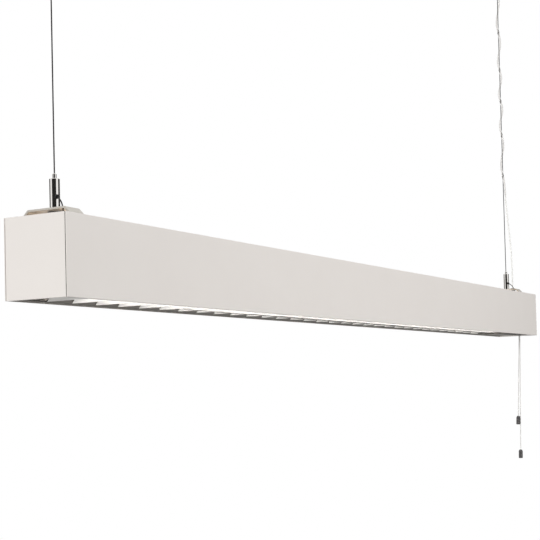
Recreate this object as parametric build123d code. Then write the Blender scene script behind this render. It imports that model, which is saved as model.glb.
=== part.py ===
from build123d import *
import os
from math import cos, pi, radians, sin, sqrt

# Office pendant light: a slim white housing that hangs level on two steel wires.
# Millimetres. The origin is on the ceiling, midway between the two fixing holes,
# +X runs along the housing to its switch end, +Y to the back and +Z up.

# Housing, an aluminium H-section extrusion
HOUSING_L = 1500.0
HOUSING_W = 80.0
HOUSING_H = 84.0
WALL_T = 2.5
WEB_T = 2.0
OUTER_EDGE_R = 0.6
PORT_D = 8.0  # round port at each side of the web, which takes an end cap's spigot
PORT_BORE_D = 5.0
SEAT_RIB_W = 1.5  # rib that the louvre and the bottom plates seat under
SEAT_RIB_T = 2.0
HANG_RIB_W = 2.3  # rib that the brackets' feet pull up against
HANG_RIB_T = 2.0
HANG_RIB_DROP = 4.0

# End caps, inset in a rebate between the walls
CAP_T = 3.0
CAP_LIP_T = 0.9  # what is left of a wall outside the cap's rebate
CAP_SHADOW_GAP = 0.8
CAP_EDGE_R = 0.2
SPIGOT_L = 12.0
SPIGOT_CLEAR = 0.1

# Suspension
CEILING_DROP = 680.0  # ceiling to the housing's top edge
LEFT_OVERHANG = 32.0  # housing end to the wire
RIGHT_OVERHANG = 64.0
WIRE_D = 1.5
WIRE_CLEAR = 0.3
PIVOT_DROP = 30.0  # ceiling to the ball that each wire hangs by
BALL_D = 5.2
SEAT_HOLE_D = 3.8
SEAT_T = 1.5
SEAT_GAP = 0.15

# Ceiling fittings
FIXING_HOLE_D = 4.5
BASE_T = 6.0
BASE_FIT = 0.1
CUP_D = 24.0
CUP_WALL = 2.0
CANOPY_D = 76.0
CANOPY_WALL = 1.5
RIM_BEVEL = 1.5
CANOPY_SCREW_D = 3.0
CANOPY_SCREW_L = 8.0
CANOPY_SCREW_HEAD_D = 5.6
CANOPY_SCREW_HEAD_T = 1.8
SCREW_CLEAR = 0.1
CANOPY_BLOCK_L = 14.0
CANOPY_BLOCK_W = 18.0
CANOPY_BLOCK_H = 11.0
CANOPY_BLOCK_SIDE = 3.4  # from the cable's axis to the block's face towards the fixing hole

# Hat brackets over the open top, one pressing used at both wires
BRACKET_L = 23.0
BRACKET_SHIFT = 3.0  # its middle lies this far left of the wire
BRACKET_T = 2.0
BRACKET_RISE = 8.5  # housing's top edge to the bracket's top face
BRACKET_TOP_W = 48.0
BRACKET_BEND_R = 2.2
FOOT_GAP = 0.3
LEG_GAP = 0.5

# Cable grippers
GRIPPER_D = 11.0
GRIPPER_H = 31.5
GRIPPER_BEVEL = 0.6
STUD_D = 8.0
STUD_END = 1.5  # stud below its nut
STUD_CLEAR = 0.2
NUT_AF = 13.0
NUT_T = 5.0
NUT_CLEAR = 0.05
LID_T = 2.0
CHAMBER_D = 6.8
CHAMBER_L = 13.5
EXIT_BORE_D = 4.4
EXIT_H = 12.5  # bracket's top face to the side exit
EXIT_FLOOR = 3.5  # side exit to the floor of the lower bore
PLUNGER_D = 4.4
PLUNGER_CLEAR = 0.15
PLUNGER_OUT = 5.5
PLUNGER_BEVEL = 0.8
SHOULDER_T = 3.2
SHOULDER_CLEAR = 0.3
PLUNGER_SEAT_GAP = 0.1
BUSH_D = 4.6
BUSH_FIT = 0.1
BUSH_OUT = 1.0
BUSH_IN = 2.1
TAIL_CLEAR = 0.3
TAIL_HOLE_D = 3.0
FERRULE_D = 2.2
FERRULE_L = 4.0

# Wire tail, by its reach from the wire's axis and its height over the bracket's top face.
# It leaves the side exit towards the bracket's front left corner.
TAIL_HEADING = 240.7
TAIL_ROUTE = [(3.6, 12.5), (9.0, 12.0), (22.0, 2.5), (23.5, -9.0)]

# Power cable: down from the canopy, wound round the right wire, then beside its gripper
CABLE_D = 4.0
CABLE_CLEAR = 0.3
CABLE_EXIT_OFFSET = 8.0  # wire to the strain relief, towards +X
RELIEF_L = 18.0
RELIEF_TOP_D = 9.6
RELIEF_TIP_D = 6.8
RELIEF_NECK_D = 7.0
RELIEF_FLANGE_D = 10.0
RELIEF_FLANGE_T = 2.0
CABLE_TUCK = 5.0  # how far the cable goes into a terminal block
WINDING_TURNS = 5
WINDING_START = -82.0
WINDING_END = -464.0
WINDING_HEADING = -70.0
WINDING_UNEVEN = 0.18  # share by which the pitch swells and shrinks along the wire
GROMMET_Y = -13.0
GROMMET_NECK_D = 7.4
GROMMET_FLANGE_D = 9.4
GROMMET_FLANGE_T = 1.5
GROMMET_FIT = 0.1
# The run from the winding to the grommet, (from the wire along X, along Y, height)
CABLE_RUN = [(1.6, -3.7, -520.0), (1.2, -6.2, -588.0), (0.2, -12.4, -644.0)]
CABLE_RUN_LEAN = [0.02, 0.09, 0.06]

# Lamps, slim fluorescent tubes: one below the web, one above it
LAMP_D = 15.6
LAMP_CAP_D = 16.2
LAMP_CAP_L = 14.0
LAMP_GLASS_T = 0.8
LAMP_END_ROOM = 25.5  # housing end to the lamp's cap
LAMP_CLEAR = 4.0
UPPER_LAMP_CLEAR = 6.0
UPPER_LAMP_FROM_WALL = 20.5
PIN_D = 2.4
PIN_L = 7.1
PIN_SPACING = 4.75
PIN_FIT = 0.05
HOLDER_R = 12.0
HOLDER_T = 10.0
HOLDER_GAP = 0.4
HOLDER_SLOT = 3.2
ROTOR_R = 7.3
ROTOR_T = 7.0
ROTOR_CLEAR = 0.1
ROTOR_END_GAP = 0.3

# Control gear on the web
BALLAST_L = 360.0
BALLAST_W = 30.0
BALLAST_H = 21.0
BALLAST_BEVEL = 2.5
BALLAST_CASE_T = 1.0
BALLAST_FROM_WALL = 9.5
LUG_L = 12.0
LUG_T = 2.5
LUG_SCREW_D = 3.2
LUG_SCREW_HEAD_D = 6.4
LUG_SCREW_HEAD_T = 2.2
LUG_SCREW_END = 3.0
MAINS_BLOCK_L = 30.0
MAINS_BLOCK_W = 20.0
MAINS_BLOCK_H = 16.0
MAINS_WELL_D = 5.0
MAINS_WELL_DEPTH = 4.0
MAINS_WELL_SPACING = 18.0

# Louvre
LOUVRE_RECESS = 2.0
LOUVRE_H = 18.0
LOUVRE_SIDE_GAP = 0.7
LOUVRE_TOP_W = 24.0
LOUVRE_PITCH = 40.4
LOUVRE_START = 57.0  # housing's left end to the first cell
SWITCH_BAY = 102.0  # housing's right end to the last cell
FLANGE_W = 4.0
FLANGE_T = 1.0
REFLECTOR_T = 0.9
REFLECTOR_BOW = 0.6
BLADE_TOP_W = 10.0
BLADE_FOOT_W = 1.2
BLADE_BOW = 0.7
BLADE_FLATS = 4
BLADE_SHEET = 0.5
BLADE_END_GAP = 0.1
LOUVRE_END_T = 1.0
CLIP_W = 12.0
CLIP_T = 0.6
CLIP_H = 16.0
CLIP_FROM_END = 90.0
CLIP_GAP = 0.3

# Bottom plates beside the louvre
PLATE_T = 1.5
PLATE_LIP_T = 1.2
PLATE_LIP_H = 10.0
PLATE_END_GAP = 0.4
LEFT_STRIP_GAP = 5.0
RIB_GAP = 0.3

# Pull switch, with two cords through one split guide bush, and their grips
PULL_FROM_END = 52.0
PULL_FROM_FRONT = 20.0
PULL_SPACING = 4.8
SWITCH_L = 34.0
SWITCH_W = 18.0
SWITCH_H = 22.0
SWITCH_EDGE_R = 2.0
CORD_BUSH_D = 6.0
CORD_BUSH_T = 3.0
CORD_BUSH_BEVEL = 1.0
CORD_BUSH_NECK_D = 4.4
CORD_BUSH_NECK_L = 7.0
CORD_BUSH_FIT = 0.1
CORD_BUSH_SPLIT = 0.2
PULL_CORD_D = 2.0
PULL_CORD_CLEAR = 0.3
PULL_CORD_TOP_GAP = 2.0
PULL_BEND_DROP = 3.0  # bush's lower face to where a cord starts to lean
SHORT_PULL_L = 163.0  # housing's bottom edge to the grip's top
SHORT_PULL_LEAN = 6.7  # how far its grip hangs behind its bore, so that the two cords pass
LONG_PULL_L = 231.0
LONG_PULL_LEAN = 5.6
GRIP_D = 8.0
GRIP_L = 17.0
GRIP_NECK_D = 5.0
GRIP_SHOULDER_L = 3.0
GRIP_BEVEL = 0.8
GRIP_CORD_L = 11.0

# Places that follow from the sizes above
WIRE_X = (HOUSING_L - LEFT_OVERHANG - RIGHT_OVERHANG) / 2
LEFT_END = -WIRE_X - LEFT_OVERHANG
RIGHT_END = WIRE_X + RIGHT_OVERHANG
TOP = -CEILING_DROP
BOTTOM = TOP - HOUSING_H
HALF_W = HOUSING_W / 2
INNER_HALF = HALF_W - WALL_T
LOUVRE_LOW = BOTTOM + LOUVRE_RECESS
LOUVRE_TOP = LOUVRE_LOW + LOUVRE_H
LOWER_LAMP_Z = LOUVRE_TOP + LAMP_CLEAR + LAMP_CAP_D / 2
WEB_LOW = LOWER_LAMP_Z + LAMP_CAP_D / 2 + LAMP_CLEAR
WEB_TOP = WEB_LOW + WEB_T
UPPER_LAMP_Z = WEB_TOP + UPPER_LAMP_CLEAR + LAMP_CAP_D / 2
UPPER_LAMP_Y = INNER_HALF - UPPER_LAMP_FROM_WALL
PORT_Y = INNER_HALF - PORT_D / 2 + WALL_T / 4
PORT_Z = WEB_LOW + WEB_T / 2
SEAT_RIB_LOW = LOUVRE_LOW + max(FLANGE_T, PLATE_T) + RIB_GAP
HANG_RIB_LOW = TOP - HANG_RIB_DROP - HANG_RIB_T
LAMP_LEFT = LEFT_END + LAMP_END_ROOM
LAMP_RIGHT = RIGHT_END - LAMP_END_ROOM
PIVOT_Z = -PIVOT_DROP
SEAT_TOP = PIVOT_Z - sqrt(BALL_D**2 - SEAT_HOLE_D**2) / 2 - SEAT_GAP
SEAT_LOW = SEAT_TOP - SEAT_T
PLATE_TOP = TOP + BRACKET_RISE
PLATE_LOW = PLATE_TOP - BRACKET_T
GRIPPER_TOP = PLATE_TOP + GRIPPER_H
EXIT_Z = PLATE_TOP + EXIT_H
CABLE_X = WIRE_X + CABLE_EXIT_OFFSET
MAINS_BLOCK_TOP = WEB_TOP + MAINS_BLOCK_H
LOUVRE_LEFT = LEFT_END + LOUVRE_START
LOUVRE_CELLS = int((HOUSING_L - LOUVRE_START - SWITCH_BAY) / LOUVRE_PITCH)
LOUVRE_RIGHT = LOUVRE_LEFT + LOUVRE_CELLS * LOUVRE_PITCH
LOUVRE_HALF = INNER_HALF - LOUVRE_SIDE_GAP
REFLECTOR_FOOT = LOUVRE_HALF - FLANGE_W
SWITCH_PLATE_TOP = LOUVRE_LOW + PLATE_T
PULL_Y = -HALF_W + PULL_FROM_FRONT
PULL_MID_X = RIGHT_END - PULL_FROM_END
CORD_BUSH_LOW = LOUVRE_LOW - CORD_BUSH_T
CORD_BUSH_TOP = LOUVRE_LOW + CORD_BUSH_NECK_L


def rect(y_low, y_high, z_low, z_high):
    """Rectangle in a section across the housing, which is drawn as (Y, Z)."""
    return Pos((y_low + y_high) / 2, (z_low + z_high) / 2) * Rectangle(y_high - y_low, z_high - z_low)


def both_sides(section):
    """A section of the back half, and its mirror image for the front half."""
    return section + mirror(section, about=Plane.YZ)


def along_x(section, x_low, x_high):
    return extrude(Plane.YZ.offset(x_low) * section, x_high - x_low)


def block(x_low, x_high, y_low, y_high, z_low, z_high):
    return along_x(rect(y_low, y_high, z_low, z_high), x_low, x_high)


def rod_x(x_low, x_high, y, z, diameter):
    return along_x(Pos(y, z) * Circle(diameter / 2), x_low, x_high)


def rod_z(x, y, z_low, z_high, diameter):
    return Pos(x, y, z_low) * extrude(Circle(diameter / 2), z_high - z_low)


def turned(outline):
    """Solid turned about Z from its half outline of (radius, height) points."""
    return revolve(Plane.XZ * make_face(Polyline(*outline, close=True)), Axis.Z)


def group(*shapes):
    """Separate solids that share one node."""
    return Compound([solid for shape in shapes for solid in shape.solids()])


def bowed(start, end, bow):
    """Arc from start to end that bows to the left by the given height."""
    chord = Vector(*end) - Vector(*start)
    left = Vector(-chord.Y, chord.X).normalized()
    middle = (Vector(*start) + Vector(*end)) * 0.5 + left * bow
    return ThreePointArc(start, middle, end)


def biarc(start, start_way, end, end_way):
    """Two arcs that leave start along start_way and reach end along end_way, or a straight line."""
    gap = end - start
    if gap.get_angle(start_way) < 0.01 and gap.get_angle(end_way) < 0.01:
        return [Line(start, end)]
    spread = 2 * (1 - start_way.dot(end_way))
    along = gap.dot(start_way + end_way)
    if spread < 1e-9:
        reach = gap.dot(gap) / (2 * along)
    else:
        reach = (sqrt(along**2 + spread * gap.dot(gap)) - along) / spread
    first = start + start_way * reach
    second = end - end_way * reach
    middle = (first + second) * 0.5
    return [
        TangentArc(start, middle, tangent=start_way),
        TangentArc(middle, end, tangent=second - first),
    ]


def rounded_route(points):
    """Straight runs joined by arcs as large as the shorter run at each corner allows."""
    radii = []
    for before, corner, after in zip(points, points[1:], points[2:]):
        turn = radians((corner - before).get_angle(after - corner))
        shorter = min((corner - before).length, (after - corner).length)
        radii.append(0.45 * shorter * (1 + cos(turn)) / sin(turn))
    return Wire(FilletPolyline(*points, radius=radii).edges())


def tube(edges, diameter, name):
    """Round tube along edges, with its tightest bend and its volume beside section times length."""
    path = Wire(edges)
    solid = sweep(Plane(path @ 0, z_dir=path % 0) * Circle(diameter / 2), path=path)
    radii = [edge.radius for edge in path.edges() if edge.geom_type == GeomType.CIRCLE]
    expected = pi * diameter**2 / 4 * path.length
    print(f"{name}: length {path.length:.1f}, radii {[round(r, 1) for r in radii]}")
    print(f"{name}: volume {solid.volume:.1f}, section times length {expected:.1f}")
    return solid, path


def least_gap(path, diameter):
    """Least clear distance between stretches of a wound tube that lie over three diameters apart along it."""
    count = int(path.length / (diameter / 2))
    points = [path @ (i / count) for i in range(count + 1)]
    apart = int(3 * diameter / (path.length / count)) + 1
    return min((a - b).length for i, a in enumerate(points) for b in points[i + apart :]) - diameter


# Housing and end caps


def housing_profile():
    wall = rect(INNER_HALF, HALF_W, BOTTOM, TOP)
    wall = fillet(wall.vertices().group_by(Axis.X)[-1], OUTER_EDGE_R)
    seat_rib = rect(INNER_HALF - SEAT_RIB_W, INNER_HALF, SEAT_RIB_LOW, SEAT_RIB_LOW + SEAT_RIB_T)
    hang_rib = rect(INNER_HALF - HANG_RIB_W, INNER_HALF, HANG_RIB_LOW, HANG_RIB_LOW + HANG_RIB_T)
    port = (Pos(PORT_Y, PORT_Z) * Circle(PORT_D / 2)) & rect(0, INNER_HALF, BOTTOM, TOP)
    web = rect(0, INNER_HALF, WEB_LOW, WEB_TOP)
    core = (web + port + seat_rib + hang_rib) - Pos(PORT_Y, PORT_Z) * Circle(PORT_BORE_D / 2)
    profile = along_x(both_sides(wall), LEFT_END, RIGHT_END)
    profile += along_x(both_sides(core), LEFT_END + CAP_T, RIGHT_END - CAP_T)
    rebate = rect(-HALF_W + CAP_LIP_T, HALF_W - CAP_LIP_T, BOTTOM, TOP)
    profile -= along_x(rebate, LEFT_END, LEFT_END + CAP_T)
    profile -= along_x(rebate, RIGHT_END - CAP_T, RIGHT_END)
    for x, y in ballast_screw_places():
        profile -= rod_z(x, y, WEB_LOW, WEB_TOP, LUG_SCREW_D + 2 * SCREW_CLEAR)
    return profile


def end_cap(outer_x, inward):
    """Plate in the walls' rebate, with two spigots that push into the profile's ports."""
    half = HALF_W - CAP_LIP_T - CAP_SHADOW_GAP
    inner_x = outer_x + inward * CAP_T
    plate = block(min(outer_x, inner_x), max(outer_x, inner_x), -half, half, BOTTOM, TOP)
    plate = fillet(plate.faces().sort_by(Axis.X)[0 if inward > 0 else -1].edges(), CAP_EDGE_R)
    tip_x = inner_x + inward * SPIGOT_L
    for side in (-1, 1):
        spigot_d = PORT_BORE_D - 2 * SPIGOT_CLEAR
        plate += rod_x(min(inner_x, tip_x), max(inner_x, tip_x), side * PORT_Y, PORT_Z, spigot_d)
    return plate


# Suspension brackets and grippers


def heading(degrees):
    return Vector(cos(radians(degrees)), sin(radians(degrees)), 0)


def tail_point(x, reach, height):
    return Vector(x, 0, PLATE_TOP + height) + heading(TAIL_HEADING) * reach


def tail_path(x):
    return rounded_route([tail_point(x, reach, height) for reach, height in TAIL_ROUTE])


def crossing(path, z):
    """Point where a falling path passes the given height."""
    above, below = 0.0, 1.0
    for _ in range(30):
        middle = (above + below) / 2
        if (path @ middle).Z > z:
            above = middle
        else:
            below = middle
    return path @ below


def bracket(x, with_grommet):
    """Hat section: flat top, legs at 45 degrees, and feet hooked under the housing's hanging ribs."""
    top_half = BRACKET_TOP_W / 2
    leg = INNER_HALF - HANG_RIB_W - LEG_GAP
    foot = INNER_HALF - FOOT_GAP
    bend = PLATE_TOP - (leg - top_half)
    mitre = BRACKET_T * sin(radians(45)) / (1 + cos(radians(45)))
    half_section = make_face(
        Polyline(
            (0, PLATE_TOP),
            (top_half, PLATE_TOP),
            (leg, bend),
            (leg, HANG_RIB_LOW),
            (foot, HANG_RIB_LOW),
            (foot, HANG_RIB_LOW - BRACKET_T),
            (leg - BRACKET_T, HANG_RIB_LOW - BRACKET_T),
            (leg - BRACKET_T, bend - mitre),
            (top_half - mitre, PLATE_LOW),
            (0, PLATE_LOW),
            close=True,
        )
    )
    corner = half_section.vertices().sort_by_distance((top_half, PLATE_TOP))[0]
    half_section = fillet(corner, BRACKET_BEND_R)
    left = x - BRACKET_SHIFT - BRACKET_L / 2
    hat = along_x(both_sides(half_section), left, left + BRACKET_L)
    hat -= rod_z(x, 0, PLATE_LOW, PLATE_TOP, STUD_D + 2 * STUD_CLEAR)
    tail = crossing(tail_path(x), (PLATE_LOW + PLATE_TOP) / 2)
    hat -= rod_z(tail.X, tail.Y, PLATE_LOW, PLATE_TOP, TAIL_HOLE_D)
    if with_grommet:
        hat -= rod_z(x, GROMMET_Y, PLATE_LOW, PLATE_TOP, GROMMET_NECK_D + 2 * GROMMET_FIT)
    return hat


def gripper_body(x):
    """Turned barrel on a stud, bored for the plunger and the wire, with a hole for the side exit."""
    stud_low = PLATE_LOW - NUT_T - STUD_END
    barrel_r = GRIPPER_D / 2
    chamber_top = GRIPPER_TOP - LID_T
    chamber_low = chamber_top - CHAMBER_L
    lid_r = PLUNGER_D / 2 + PLUNGER_CLEAR
    barrel = turned(
        [
            (0, stud_low),
            (STUD_D / 2, stud_low),
            (STUD_D / 2, PLATE_TOP),
            (barrel_r - GRIPPER_BEVEL, PLATE_TOP),
            (barrel_r, PLATE_TOP + GRIPPER_BEVEL),
            (barrel_r, GRIPPER_TOP - GRIPPER_BEVEL),
            (barrel_r - GRIPPER_BEVEL, GRIPPER_TOP),
            (lid_r, GRIPPER_TOP),
            (lid_r, chamber_top),
            (CHAMBER_D / 2, chamber_top),
            (CHAMBER_D / 2, chamber_low),
            (EXIT_BORE_D / 2, chamber_low),
            (EXIT_BORE_D / 2, EXIT_Z - EXIT_FLOOR),
            (0, EXIT_Z - EXIT_FLOOR),
        ]
    )
    mouth = Plane((0, 0, EXIT_Z), z_dir=heading(TAIL_HEADING)) * Circle(BUSH_D / 2 + BUSH_FIT)
    return Pos(x, 0, 0) * (barrel - extrude(mouth, GRIPPER_D))


def gripper_plunger(x):
    """Release plunger: a shoulder under the barrel's lid and a nipple that stands out of it."""
    bore_r = WIRE_D / 2 + WIRE_CLEAR
    shoulder_r = CHAMBER_D / 2 - SHOULDER_CLEAR
    shoulder_top = GRIPPER_TOP - LID_T - PLUNGER_SEAT_GAP
    tip = GRIPPER_TOP + PLUNGER_OUT
    return Pos(x, 0, 0) * turned(
        [
            (bore_r, shoulder_top - SHOULDER_T),
            (shoulder_r, shoulder_top - SHOULDER_T),
            (shoulder_r, shoulder_top),
            (PLUNGER_D / 2, shoulder_top),
            (PLUNGER_D / 2, tip - PLUNGER_BEVEL),
            (PLUNGER_D / 2 - PLUNGER_BEVEL, tip),
            (bore_r, tip),
        ]
    )


def gripper_nut(x):
    hexagon = RegularPolygon(NUT_AF / 2, 6, major_radius=False)
    ring = hexagon - Circle(STUD_D / 2 + NUT_CLEAR)
    return Pos(x, 0, PLATE_LOW - NUT_T) * extrude(ring, NUT_T)


def exit_bush(x):
    inner = GRIPPER_D / 2 - BUSH_IN
    ring = Circle(BUSH_D / 2) - Circle(WIRE_D / 2 + TAIL_CLEAR)
    plane = Plane(tail_point(x, inner, EXIT_H), z_dir=heading(TAIL_HEADING))
    return extrude(plane * ring, BUSH_IN + BUSH_OUT)


def wire_tail(x, name):
    """Spare wire from the side exit, through the bracket into the housing, with a crimped end."""
    solid, path = tube(tail_path(x).edges(), WIRE_D, name)
    ferrule = extrude(Plane(path @ 1, z_dir=path % 1) * Circle(FERRULE_D / 2), FERRULE_L)
    return solid + ferrule


def wire(x):
    return rod_z(x, 0, EXIT_Z - EXIT_FLOOR / 2, PIVOT_Z + BALL_D / 2, WIRE_D)


def wire_end(x):
    ball = Pos(x, 0, PIVOT_Z) * Sphere(BALL_D / 2)
    return ball - rod_z(x, 0, PIVOT_Z - BALL_D, PIVOT_Z + BALL_D, WIRE_D)


# Ceiling fittings


def ceiling_base(x, diameter):
    disc = rod_z(x, 0, -BASE_T, 0, diameter)
    return disc - rod_z(x, 0, -BASE_T, 0, FIXING_HOLE_D)


def ceiling_shell(x, diameter, wall):
    """Cup over a ceiling base, with the seat for a wire's ball in the middle of its floor."""
    outer = diameter / 2
    return Pos(x, 0, 0) * turned(
        [
            (SEAT_HOLE_D / 2, SEAT_TOP),
            (outer - wall, SEAT_TOP),
            (outer - wall, 0),
            (outer, 0),
            (outer, SEAT_LOW + RIM_BEVEL),
            (outer - RIM_BEVEL, SEAT_LOW),
            (SEAT_HOLE_D / 2, SEAT_LOW),
        ]
    )


def canopy_screw(side, diameter, head_d):
    """Radial screw through the canopy's wall into its base, or its hole when made wider."""
    wall_r = CANOPY_D / 2
    plane = Plane((WIRE_X, side * wall_r, -BASE_T / 2), z_dir=(0, side, 0))
    screw = extrude(plane * Circle(diameter / 2), -CANOPY_SCREW_L)
    return screw + extrude(plane * Circle(head_d / 2), CANOPY_SCREW_HEAD_T)


def canopy_screw_holes():
    hole_d = CANOPY_SCREW_D + 2 * SCREW_CLEAR
    return [canopy_screw(side, hole_d, hole_d) for side in (-1, 1)]


def canopy_base():
    base = ceiling_base(WIRE_X, CANOPY_D - 2 * CANOPY_WALL - 2 * BASE_FIT)
    return base - canopy_screw_holes()


def canopy_cover():
    cover = ceiling_shell(WIRE_X, CANOPY_D, CANOPY_WALL) - canopy_screw_holes()
    return cover - rod_z(CABLE_X, 0, SEAT_LOW, SEAT_TOP, RELIEF_NECK_D + 2 * GROMMET_FIT)


def cable_strain_relief():
    bore_r = CABLE_D / 2 + CABLE_CLEAR
    return Pos(CABLE_X, 0, 0) * turned(
        [
            (bore_r, SEAT_LOW - RELIEF_L),
            (RELIEF_TIP_D / 2, SEAT_LOW - RELIEF_L),
            (RELIEF_TOP_D / 2, SEAT_LOW),
            (RELIEF_NECK_D / 2, SEAT_LOW),
            (RELIEF_NECK_D / 2, SEAT_TOP),
            (RELIEF_FLANGE_D / 2, SEAT_TOP),
            (RELIEF_FLANGE_D / 2, SEAT_TOP + RELIEF_FLANGE_T),
            (bore_r, SEAT_TOP + RELIEF_FLANGE_T),
        ]
    )


def canopy_terminal_block():
    left = CABLE_X - CANOPY_BLOCK_SIDE
    low = -BASE_T - CANOPY_BLOCK_H
    half = CANOPY_BLOCK_W / 2
    body = block(left, left + CANOPY_BLOCK_L, -half, half, low, -BASE_T)
    return body - rod_z(CABLE_X, 0, low, low + CABLE_TUCK + CABLE_CLEAR, CABLE_D + 2 * CABLE_CLEAR)


# Power cable


def winding_stations():
    """Point and direction at each quarter turn of the cable round the right wire."""
    radius = WIRE_D / 2 + CABLE_CLEAR + CABLE_D / 2
    fall = (WINDING_END - WINDING_START) / WINDING_TURNS
    stations = []
    for quarter in range(4 * WINDING_TURNS + 1):
        turn = quarter / 4
        swell = 2 * pi * turn / WINDING_TURNS
        angle = radians(WINDING_HEADING) + 2 * pi * turn
        loosened = turn + WINDING_UNEVEN * WINDING_TURNS / (2 * pi) * sin(swell)
        rate = fall * (1 + WINDING_UNEVEN * cos(swell))
        place = Vector(WIRE_X + radius * cos(angle), radius * sin(angle), WINDING_START + fall * loosened)
        way = Vector(-2 * pi * radius * sin(angle), 2 * pi * radius * cos(angle), rate)
        stations.append((place, way.normalized()))
    return stations


def power_cable():
    down = Vector(0, 0, -1)
    top = -BASE_T - CANOPY_BLOCK_H + CABLE_TUCK
    stations = [
        (Vector(CABLE_X, 0, top), down),
        (Vector(CABLE_X, 0, SEAT_LOW - RELIEF_L), down),
    ]
    stations += winding_stations()
    for (x, y, z), lean in zip(CABLE_RUN, CABLE_RUN_LEAN):
        stations.append((Vector(WIRE_X + x, y, z), Vector(0, -lean, -1).normalized()))
    stations += [
        (Vector(WIRE_X, GROMMET_Y, PLATE_TOP + GROMMET_FLANGE_T), down),
        (Vector(WIRE_X, GROMMET_Y, MAINS_BLOCK_TOP - CABLE_TUCK), down),
    ]
    edges = []
    for (start, start_way), (end, end_way) in zip(stations, stations[1:]):
        edges += biarc(start, start_way, end, end_way)
    solid, path = tube(edges, CABLE_D, "power_cable")
    print(f"power_cable: least gap to itself {least_gap(path, CABLE_D):.2f}")
    return solid


def cable_grommet():
    neck_r = GROMMET_NECK_D / 2
    flange_r = GROMMET_FLANGE_D / 2
    bore_r = CABLE_D / 2 + CABLE_CLEAR
    return Pos(WIRE_X, GROMMET_Y, 0) * turned(
        [
            (bore_r, PLATE_LOW - GROMMET_FLANGE_T),
            (flange_r, PLATE_LOW - GROMMET_FLANGE_T),
            (flange_r, PLATE_LOW),
            (neck_r, PLATE_LOW),
            (neck_r, PLATE_TOP),
            (flange_r, PLATE_TOP),
            (flange_r, PLATE_TOP + GROMMET_FLANGE_T),
            (bore_r, PLATE_TOP + GROMMET_FLANGE_T),
        ]
    )


# Control gear


def ballast_y():
    front = -INNER_HALF + BALLAST_FROM_WALL
    return front, front + BALLAST_W


def ballast_screw_places():
    front, back = ballast_y()
    reach = BALLAST_L / 2 + LUG_L / 2
    return [(side * reach, (front + back) / 2) for side in (-1, 1)]


def ballast():
    """Slim electronic ballast in a folded case that is open below, with a flat lug at each end."""
    front, back = ballast_y()
    top = WEB_TOP + BALLAST_H
    section = rect(front, back, WEB_TOP, top)
    section = chamfer(section.vertices().group_by(Axis.Y)[-1], BALLAST_BEVEL)
    body = along_x(section, -BALLAST_L / 2, BALLAST_L / 2)
    body += block(-BALLAST_L / 2 - LUG_L, BALLAST_L / 2 + LUG_L, front, back, WEB_TOP, WEB_TOP + LUG_T)
    inside = offset(section, -BALLAST_CASE_T) + rect(
        front + BALLAST_CASE_T, back - BALLAST_CASE_T, WEB_TOP, WEB_TOP + BALLAST_H / 2
    )
    body -= along_x(inside, -BALLAST_L / 2 + BALLAST_CASE_T, BALLAST_L / 2 - BALLAST_CASE_T)
    for x, y in ballast_screw_places():
        body -= rod_z(x, y, WEB_TOP, WEB_TOP + LUG_T, LUG_SCREW_D + 2 * SCREW_CLEAR)
    return body


def ballast_screws():
    screws = []
    for x, y in ballast_screw_places():
        head_low = WEB_TOP + LUG_T
        head = rod_z(x, y, head_low, head_low + LUG_SCREW_HEAD_T, LUG_SCREW_HEAD_D)
        screws.append(head + rod_z(x, y, WEB_LOW - LUG_SCREW_END, head_low, LUG_SCREW_D))
    return group(*screws)


def mains_terminal_block():
    half_l = MAINS_BLOCK_L / 2
    half_w = MAINS_BLOCK_W / 2
    front, back = GROMMET_Y - half_w, GROMMET_Y + half_w
    body = block(WIRE_X - half_l, WIRE_X + half_l, front, back, WEB_TOP, MAINS_BLOCK_TOP)
    entry_low = MAINS_BLOCK_TOP - CABLE_TUCK - CABLE_CLEAR
    body -= rod_z(WIRE_X, GROMMET_Y, entry_low, MAINS_BLOCK_TOP, CABLE_D + 2 * CABLE_CLEAR)
    for side in (-1, 1):
        well_x = WIRE_X + side * MAINS_WELL_SPACING / 2
        body -= rod_z(well_x, GROMMET_Y, MAINS_BLOCK_TOP - MAINS_WELL_DEPTH, MAINS_BLOCK_TOP, MAINS_WELL_D)
    return body


# Lamps and lampholders


def lampholder(face_x, outward, y, z, web_z):
    """Holder that stands on the web, with a bore for its rotor and a slot for the lamp's pins."""
    free = -1 if web_z > z else 1
    low, high = sorted((z, web_z))
    section = Pos(y, z) * Circle(HOLDER_R) + rect(y - HOLDER_R, y + HOLDER_R, low, high)
    back_x = face_x + outward * HOLDER_T
    bore_x = face_x + outward * (ROTOR_T + 2 * ROTOR_END_GAP)
    holder = along_x(section, min(face_x, back_x), max(face_x, back_x))
    holder -= rod_x(min(face_x, bore_x), max(face_x, bore_x), y, z, 2 * (ROTOR_R + ROTOR_CLEAR))
    slot_low, slot_high = sorted((z, z + free * HOLDER_R))
    slot = rect(y - HOLDER_SLOT / 2, y + HOLDER_SLOT / 2, slot_low, slot_high)
    return holder - along_x(slot, min(face_x, bore_x), max(face_x, bore_x))


def lampholders(y, z, web_z):
    return group(
        lampholder(LAMP_LEFT - HOLDER_GAP, -1, y, z, web_z),
        lampholder(LAMP_RIGHT + HOLDER_GAP, 1, y, z, web_z),
    )


def lamp_tube(y, z):
    ring = Circle(LAMP_D / 2) - Circle(LAMP_D / 2 - LAMP_GLASS_T)
    return along_x(Pos(y, z) * ring, LAMP_LEFT + LAMP_CAP_L, LAMP_RIGHT - LAMP_CAP_L)


def lamp_caps(y, z):
    return group(
        rod_x(LAMP_LEFT, LAMP_LEFT + LAMP_CAP_L, y, z, LAMP_CAP_D),
        rod_x(LAMP_RIGHT - LAMP_CAP_L, LAMP_RIGHT, y, z, LAMP_CAP_D),
    )


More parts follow.
